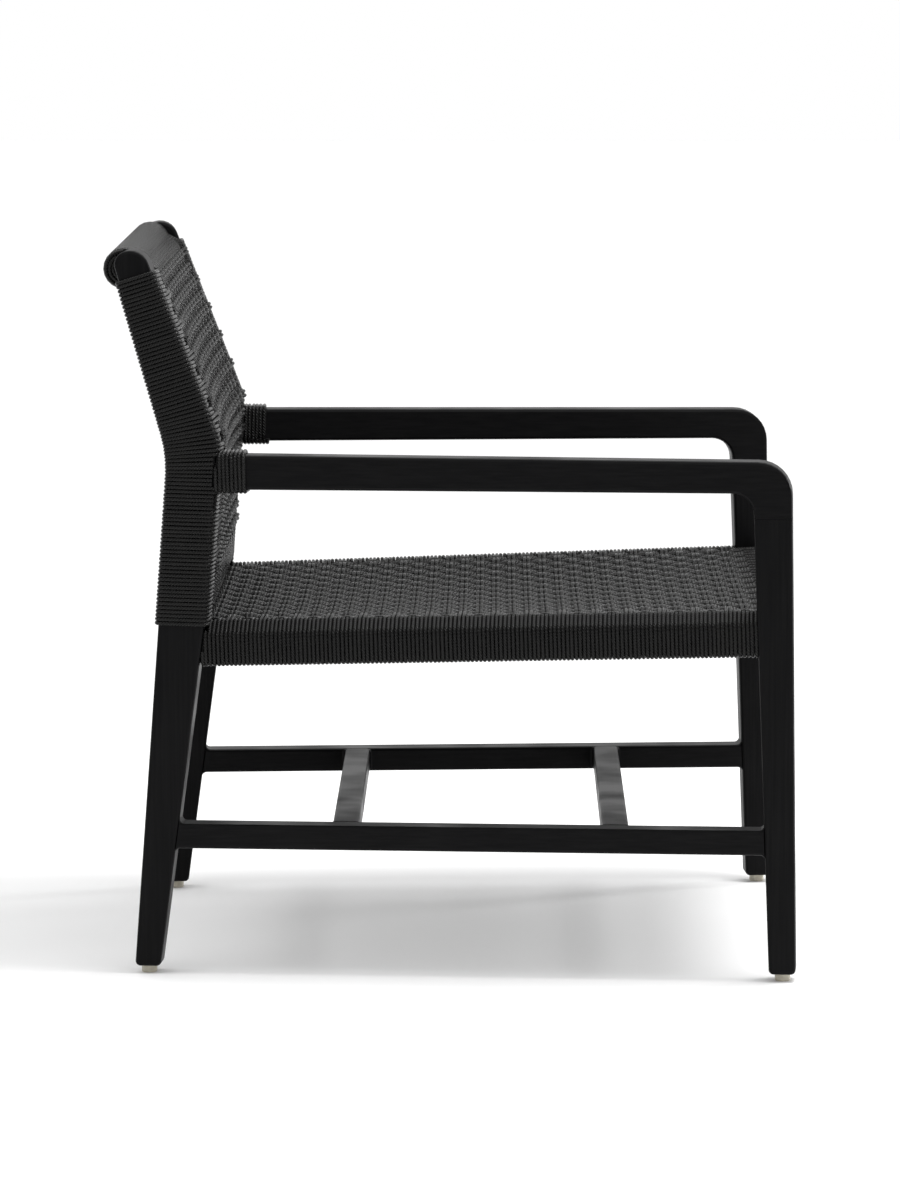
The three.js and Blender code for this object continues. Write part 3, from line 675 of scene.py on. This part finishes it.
seat_low, seat_high = (np.array(corner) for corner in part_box("seat_weave"))
rear_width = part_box("rear_seat_rail_cord")[1][0] - 0.0005
front_width = seat_high[0] - 0.0006
rear_rail = board_of("rear_seat_rail")
front_rail = board_of("front_seat_rail")
BACKWARD = np.array([0.0, 1.0, 0.0])
round_rear = loop_round(rear_rail, middle_of("rear_seat_rail"), UP, BACKWARD)
round_front = loop_round(front_rail, middle_of("front_seat_rail"), UP, -BACKWARD)
seat_ends = [round_rear[0], round_front[0]]


def seat_share(y):
    return (seat_ends[0][1] - y) / (seat_ends[0][1] - seat_ends[1][1])


def dished(x, width):
    return 1 - min(abs(x) / width, 1) ** 2.2


def seat_level(x, y):
    share = seat_share(y)
    sag = SEAT_SAG * sin(pi * min(max(share, 0), 1)) ** 0.8 * dished(x, half_width(y))
    sag += SIDE_DROP * eased((1 - abs(x) / half_width(y)) / 0.03) * eased(min(share, 1 - share) / 0.06)
    return seat_ends[0][2] * (1 - share) + seat_ends[1][2] * share - sag


def half_width(y):
    share = seat_share(y)
    return rear_width * (1 - share) + front_width * share


def over(bundle, pair):
    return 1 if (bundle + pair) % 2 == 0 else -1


TOP_OF_RAIL = 7  # step of a side rail's loop that lies on its inner top edge
seat_levels = []  # (y, phase) of each place where the lengthwise cords get a point
for t in range(rail_turn_count):
    seat_levels.append((rail_turns[t][TOP_OF_RAIL][1], (t - seat_pairs[0] - 0.5) / TURNS_TO_A_PAIR))


def bundle_place(bundle, cord, width, spacing):
    centre = (bundle + 0.5) / BUNDLES * 2 - 1
    return centre * width + (cord - (CORDS_IN_BUNDLE - 1) / 2) * spacing


def rail_spacing(width, fillers):
    return 2 * width / BUNDLES / (CORDS_IN_BUNDLE + len(fillers))


def filled(ring, width, fillers):
    """The turns that cover a rail between one bundle and the next, inwards from both its ends."""
    places = [(slot / BUNDLES * 2 - 1) * width + cord * rail_spacing(width, fillers)
              for slot in range(1, BUNDLES) for cord in fillers]
    return [np.array([(x, y, z) for _, y, z in ring]) for x in places]


def lengthwise(bundle, cord):
    jitter = rng.normal(0, UNEVEN)
    end_spacing = [rail_spacing(rear_width, REAR_FILLERS), rail_spacing(front_width, FRONT_FILLERS)]
    path = []
    x = bundle_place(bundle, cord, rear_width, end_spacing[0])
    path += [(x, y, z) for _, y, z in round_rear[RAIL_END:0:-1]]
    for y, phase in seat_levels:
        if not seat_ends[1][1] + 0.012 < y < seat_ends[0][1] - 0.012:
            continue
        swing = cos(pi * phase) * over(bundle, 0)
        share = seat_share(y)
        loose = end_spacing[0] * (1 - share) + end_spacing[1] * share
        near_end = max(1 - min(seat_ends[0][1] - y, y - seat_ends[1][1]) / 0.035, 0)
        pinch = (PINCHED + SPREAD * (1 + swing) / 2) * 2 * half_width(y) / BUNDLES
        spacing = pinch * (1 - near_end) + loose * near_end
        x = bundle_place(bundle, cord, half_width(y), spacing) + jitter * (1 - near_end)
        crown = -CROWN * (cord in OUTER_CORDS) * (1 - near_end)
        path.append((x, y, seat_level(x, y) + BUNDLE_RISE * swing + crown))
    x = bundle_place(bundle, cord, front_width, end_spacing[1])
    path += [(x, y, z) for _, y, z in round_front[1:RAIL_END]]
    return np.array(path)


cords = [lengthwise(bundle, cord) for bundle in range(BUNDLES) for cord in range(CORDS_IN_BUNDLE)]
half = len(cords) // 2
lay_cord("seat_lengthwise_right", cords[:half], ["seat_weave", "rear_seat_rail_cord"], facets=WEAVE_FACETS)
lay_cord("seat_lengthwise_left", cords[half:], ["front_seat_rail_cord"], facets=WEAVE_FACETS)

for name, ring, width, fillers, covered in (
        ("front_rail_fillers", round_front, front_width, FRONT_FILLERS, "front_seat_rail_cord"),
        ("rear_rail_fillers", round_rear, rear_width, REAR_FILLERS, "rear_seat_rail_cord")):
    turn = np.roll(ring[:-1], 2, axis=0)[:RAIL_END]
    lay_cord(name, filled(turn, width, fillers), [covered], facets=WEAVE_FACETS)

SIDE_STEPS = (-0.32, -0.13, 0.13, 0.32)  # places across a bundle where a crossing cord gets a point
SIDE_LIFT = (0.6, 1.0, 1.0, 0.6)


def crosswise_seat(number, t):
    loop = fine(skewed(rail_turns[t], forward, rail_pitch)[TOP_OF_RAIL:])
    y = rail_turns[t][TOP_OF_RAIL][1]
    across = []
    for bundle in range(BUNDLES):
        for step, lift in zip(SIDE_STEPS, SIDE_LIFT):
            x = ((bundle + 0.5 + step) / BUNDLES * 2 - 1) * half_width(y)
            across.append((x, y, seat_level(x, y) - over(bundle, number) * lift * PAIR_RISE))
    return clear_of(np.concatenate([loop[::-1], across, mirrored(loop)]), beside_seat)


beside_seat = [tree_of(f"{side}_{node}") for side in ("right", "left") for node in ("rear_post", "front_leg")]
pairs_of_seat = []
for number, t in enumerate(seat_pairs):
    for k in PAIR:
        pairs_of_seat += crosswise_seat(number, t + k)
lay_cord("seat_crosswise", pairs_of_seat, ["seat_weave"], facets=WEAVE_FACETS)


# ---------------------------------------------------------------- woven back
# The same weave, stretched on the front of the posts from the lower rail to the crest rail.
# Bundles of four go up and over the crest, which they cover, and pairs go round the posts.

crest_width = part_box("crest_cord")[1][0] - 0.0015
back_levels = []
for t, (loop, axis, face) in enumerate(post_turns):
    between = -loop[0][0] - CORD_RADIUS
    back_levels.append((loop[FRONT_OF_POST], face, (t - pairs[0] - 0.5) / TURNS_TO_A_PAIR, between))
crest_clear = CREST_RADIUS + CORD_RADIUS
lower_loop = loop_round(board_of("lower_back_rail"), lower_rail_middle, -BACKWARD, -UP)
top_face = post_turns[-1][2]
crest_start = atan2(top_face[2], -top_face[1])
CREST_STEP = radians(18)
CREST_STEPS = 16
WEAVE_FOOT = lower_rail_middle[2] + 0.012
WEAVE_HEAD = crest_middle[2] - 0.001
FOOT_EASE = 0.02  # height in which the cords draw together into bundles above the lower rail
HEAD_EASE = 0.022  # and spread again below the crest
BACK_SAG = 0.006  # at the middle, between the posts
CREST_SETBACK = 0.005  # the wound crest lies this far behind the fronts of the posts


def back_level(point, face, x, width):
    """A place on the dished face of the back, behind the straight line from post to post."""
    share = (point[2] - WEAVE_FOOT) / (WEAVE_HEAD - WEAVE_FOOT)
    share = min(max(share, 0.0), 1.0)
    near_crest = eased((share - 0.72) / 0.28)
    edge = eased((1 - abs(x) / width) / 0.06)
    behind = BACK_SAG * sin(pi * share) ** 0.6 * dished(x, width) + CREST_SETBACK * near_crest * edge
    return point - face * behind


def upright(bundle, cord):
    jitter = rng.normal(0, UNEVEN)
    end_spacing = rail_spacing(crest_width, REAR_FILLERS)
    x = bundle_place(bundle, cord, back_levels[0][3], end_spacing)
    path = [(x, y, z) for _, y, z in lower_loop[RAIL_END - 1::-1]]
    for point, face, phase, width in back_levels:
        if not WEAVE_FOOT < point[2] < WEAVE_HEAD:
            continue
        woven = eased(min((point[2] - WEAVE_FOOT) / FOOT_EASE, (WEAVE_HEAD - point[2]) / HEAD_EASE))
        swing = cos(pi * phase) * over(bundle, 0) * woven
        pinch = (PINCHED + SPREAD * (1 + swing) / 2) * woven * 2 * width / BUNDLES
        spacing = end_spacing * (1 - woven) + pinch
        x_here = bundle_place(bundle, cord, width, spacing) + jitter * woven
        crown = -CROWN * (cord in OUTER_CORDS) * woven
        level = back_level(point, face, x_here, width) + face * (BUNDLE_RISE * swing + crown)
        path.append((x_here, level[1], level[2]))
    x = bundle_place(bundle, cord, crest_width, end_spacing)
    for step in range(CREST_STEPS):
        angle = crest_start + step * CREST_STEP
        path.append((x, crest_middle[1] - crest_clear * cos(angle),
                     crest_middle[2] + crest_clear * sin(angle)))
    return np.array(path)


cords = [upright(bundle, cord) for bundle in range(BUNDLES) for cord in range(CORDS_IN_BUNDLE)]
lay_cord("back_upright_right", cords[:half], ["back_weave", "crest_cord"], facets=WEAVE_FACETS)
lay_cord("back_upright_left", cords[half:], ["lower_back_cord"], facets=WEAVE_FACETS)
round_crest = [(0, crest_middle[1] - crest_clear * cos(angle), crest_middle[2] + crest_clear * sin(angle))
               for angle in crest_start + np.arange(-3, CREST_STEPS) * CREST_STEP]
lay_cord("crest_fillers", filled(round_crest, crest_width, REAR_FILLERS), ["crest_cord"], facets=WEAVE_FACETS)
lay_cord("lower_rail_fillers", filled(lower_loop[:RAIL_END], back_levels[0][3], REAR_FILLERS),
         ["lower_back_cord"], facets=WEAVE_FACETS)


# Turns inside one another cover each end of the crest.
END_TURNS = ((0.0008, 0.0002), (-0.0032, 0.0010), (-0.0070, 0.0016))  # (radius past the crest's, outwards)
circle = np.arange(0, 2 * pi + 0.01, radians(12))
end_turns = []
for beyond, outwards in END_TURNS:
    ring = CREST_RADIUS + beyond
    turn = np.stack([np.full(len(circle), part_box("crest_cord")[0][0] - outwards),
                     crest_middle[1] + ring * np.cos(circle), crest_middle[2] + ring * np.sin(circle)], 1)
    end_turns += clear_of(fine(turn, 0.003), [tree_of("right_rear_post")])
lay_cord("crest_end_turns", end_turns + [mirrored(path) for path in end_turns], ["crest_cord"])


def crosswise_back(number, t):
    loop, axis, face = post_turns[t]
    level = loop[FRONT_OF_POST]
    turn = fine(skewed(loop, axis, POST_PITCH)[FRONT_OF_POST + 1:])
    across = []
    for bundle in range(BUNDLES):
        for step, lift in zip(SIDE_STEPS, SIDE_LIFT):
            x = ((bundle + 0.5 + step) / BUNDLES * 2 - 1) * back_levels[t][3]
            lifted = face * over(bundle, number) * lift * PAIR_RISE
            place = back_level(level, face, x, back_levels[t][3]) - lifted
            across.append((x, place[1], place[2]))
    return clear_of(np.concatenate([turn[::-1], across, mirrored(turn)]), beside_back)


beside_back = [tree_of(f"{side}_{node}") for side in ("right", "left") for node in ("arm", "seat_rail")]
pairs_of_back = []
for number, t in enumerate(pairs):
    for k in PAIR:
        pairs_of_back += crosswise_back(number, t + k)
lay_cord("back_crosswise", pairs_of_back, ["back_weave"], facets=WEAVE_FACETS)


# ---------------------------------------------------------------- arm bindings
# Eight turns of cord bind the rear end of each arm where it meets the post.

BINDING_TURNS = 8
BINDING_PITCH = 0.0041
BINDING_WAVER = 0.00022
TOWARDS_POST = 0.0011  # of the binding from the middle of its room
arm = board_of("right_arm")
low, high = (np.array(corner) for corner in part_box("right_arm_binding"))
arm_middle = middle_of("right_arm_binding")
arm_middle[2] = (low[2] + high[2]) / 2
turns = []
for t in range(BINDING_TURNS):
    along = (t + 0.5 - BINDING_TURNS / 2) * BINDING_PITCH - TOWARDS_POST
    loop = loop_round(arm, arm_middle + forward * along, inward, UP)
    waver = rng.normal(0, BINDING_WAVER, (LOOP_STEPS + 1, 1)) * forward
    turns.append(fine(skewed(loop + waver, forward, BINDING_PITCH)))
binding = [np.concatenate(turns)]
lay_cord("right_arm_cord", binding, ["right_arm_binding"], facets=10)
lay_cord("left_arm_cord", [mirrored(path) for path in binding], ["left_arm_binding"], facets=10)
